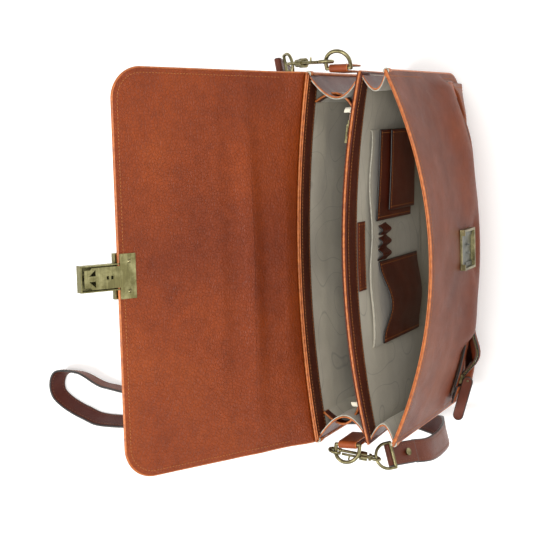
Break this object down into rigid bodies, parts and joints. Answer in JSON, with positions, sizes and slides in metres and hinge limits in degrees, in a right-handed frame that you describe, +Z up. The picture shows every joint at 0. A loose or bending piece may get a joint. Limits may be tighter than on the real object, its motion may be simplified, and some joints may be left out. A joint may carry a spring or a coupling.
{
  "type": "leather briefcase",
  "caption": "Leather briefcase with a turned-back flap, tuck lock, divided interior, zipped front pocket, carry handle and clip-on shoulder strap.",
  "frame": {"origin": "middle of the base at floor height", "axes": "+X along the width, to the right when the front is faced, -Y out of the front, +Z up"},
  "size_m": [0.4696, 0.6118, 0.4976],
  "materials": {
    "body_leather": "smooth waxed calf, soft sheen",
    "gusset_leather": "smooth calf",
    "facing_leather": "dark red-brown, stitched",
    "lining": "grey-beige woven lining",
    "pocket_leather": "thin calf with dark painted edges",
    "edge_leather": "orange cut edge",
    "flap_leather": "cognac grained calf",
    "strap_leather": "bridle leather, black painted edges",
    "antique_brass": "antique brass, worn highlights",
    "zip_brass": "aged brass teeth",
    "zip_cream": "cream woven tape",
    "dark_steel": "dull plated steel",
    "board": "black stiffener board"
  },
  "bodies": {
    "body": {"back_panel": "body_leather", "back_facing": "facing_leather", "back_lining": "lining", "base_gusset": "body_leather", "base_board": "board", "rear_gusset_left": "gusset_leather", "rear_gusset_right": "gusset_leather", "front_gusset_left": "gusset_leather", "front_gusset_right": "gusset_leather", "ring_tabs": "edge_leather", "d_rings": "antique_brass", "snap_hooks": "antique_brass", "hook_swivels": "antique_brass", "strap_rings": "antique_brass", "strap_ends": "strap_leather", "strap_rivets": "antique_brass", "shoulder_strap": "strap_leather"},
    "hook_gate_left": {"hook_gate_left": "antique_brass"},
    "hook_gate_right": {"hook_gate_right": "antique_brass"},
    "strap_slider": {"strap_slider": "antique_brass"},
    "divider": {"divider_panel": "edge_leather", "divider_facings": "facing_leather", "divider_lining": "lining", "laptop_sleeve": "lining", "sleeve_trim": "facing_leather", "middle_zip": "zip_cream", "organizer_pocket": "lining", "phone_pocket": "pocket_leather", "pen_loops": "pocket_leather", "large_pocket": "pocket_leather", "label_patch": "facing_leather"},
    "middle_zip_slider": {"middle_zip_slider": "zip_brass"},
    "middle_zip_puller": {"middle_zip_puller": "zip_brass"},
    "front": {"front_panel": "body_leather", "front_facing": "facing_leather", "front_lining": "lining", "catch_frame": "antique_brass", "catch_box": "dark_steel", "catch_backing": "dark_steel", "front_pocket": "body_leather", "pocket_zip": "zip_brass", "zip_end_tabs": "strap_leather"},
    "zip_slider": {"zip_slider": "zip_brass"},
    "zip_puller": {"zip_puller": "strap_leather"},
    "flap_top": {"flap_top": "flap_leather", "handle_chapes": "antique_brass"},
    "handle": {"handle_rings": "antique_brass", "carry_handle": "strap_leather"},
    "flap_front": {"flap_front": "flap_leather", "lock_case": "antique_brass", "lock_back_plate": "antique_brass", "lock_rivets": "antique_brass", "latch_spring": "dark_steel"},
    "latch_bar": {"latch_bar": "dark_steel"},
    "lock_button": {"lock_button": "antique_brass"},
    "key_cylinder": {"key_cylinder": "antique_brass"}
  },
  "joints": [
    {"name": "flap_hinge", "type": "hinge", "parent": "body", "child": "flap_top", "pos_m": [0, 0.06, 0.294], "axis": [1, 0, 0], "range_deg": [-40, 127]},
    {"name": "flap_fold", "type": "hinge", "parent": "flap_top", "child": "flap_front", "pos_m": [0, 0.12319, 0.37786], "axis": [1, 0, 0], "range_deg": [-25.56, 81.05]},
    {"name": "front_tilt", "type": "hinge", "parent": "body", "child": "front", "pos_m": [0, -0.042, 0.003], "axis": [1, 0, 0], "range_deg": [-7.67, 2.45], "deforming": ["rear_gusset_left", "rear_gusset_right", "front_gusset_left", "front_gusset_right"]},
    {"name": "divider_tilt", "type": "hinge", "parent": "body", "child": "divider", "pos_m": [0, 0, 0.008], "axis": [1, 0, 0], "range_deg": [-4.65, 1.5]},
    {"name": "handle_swing", "type": "hinge", "parent": "flap_top", "child": "handle", "pos_m": [0, 0.10466, 0.33798], "axis": [1, 0, 0], "range_deg": [-80, 80]},
    {"name": "gate_left", "type": "slide", "parent": "body", "child": "hook_gate_left", "axis": [-0.2305, -0.8912, -0.3907], "range_m": [0, 0.007], "stiffness_N_per_m": 60},
    {"name": "gate_right", "type": "slide", "parent": "body", "child": "hook_gate_right", "axis": [0, 0.9511, -0.309], "range_m": [0, 0.007], "stiffness_N_per_m": 60},
    {"name": "strap_adjust", "type": "slide", "parent": "body", "child": "strap_slider", "axis": [0.0995, 0.995, 0], "range_m": [0, 0.01]},
    {"name": "middle_zip_run", "type": "hinge", "parent": "divider", "child": "middle_zip_slider", "pos_m": [0, -0.95118, 0.268], "axis": [0, 0, 1], "range_deg": [0, 16.33]},
    {"name": "middle_puller_swing", "type": "hinge", "parent": "middle_zip_slider", "child": "middle_zip_puller", "pos_m": [0.1385, 0.01048, 0.2732], "axis": [0.1413, 0.99, 0], "range_deg": [0, 100]},
    {"name": "pocket_zip_run", "type": "hinge", "parent": "front", "child": "zip_slider", "pos_m": [0, 0.45924, 0.095], "axis": [0, 0, 1], "range_deg": [0, 33.6]},
    {"name": "zip_puller_swing", "type": "hinge", "parent": "zip_slider", "child": "zip_puller", "pos_m": [-0.1587, -0.06692, 0.095], "axis": [0, 0, 1], "range_deg": [0, 165]},
    {"name": "lock_button_press", "type": "slide", "parent": "flap_front", "child": "lock_button", "axis": [0, -0.7986, 0.6018], "range_m": [0, 0.0015], "stiffness_N_per_m": 400},
    {"name": "latch_slide", "type": "slide", "parent": "flap_front", "child": "latch_bar", "axis": [0, 0.6018, 0.7986], "range_m": [0, 0.0018], "deforming": ["latch_spring"]},
    {"name": "key_turn", "type": "hinge", "parent": "flap_front", "child": "key_cylinder", "pos_m": [0, 0.19779, 0.46689], "axis": [0, -0.7986, 0.6018], "range_deg": [0, 90]}
  ],
  "couplings": [
    {"joint": "flap_fold", "follows": "flap_hinge", "ratio": 0.6378},
    {"joint": "front_tilt", "follows": "flap_hinge", "ratio": -0.06},
    {"joint": "divider_tilt", "follows": "flap_hinge", "ratio": -0.03622},
    {"joint": "latch_slide", "follows": "lock_button_press", "ratio": 1.2}
  ]
}
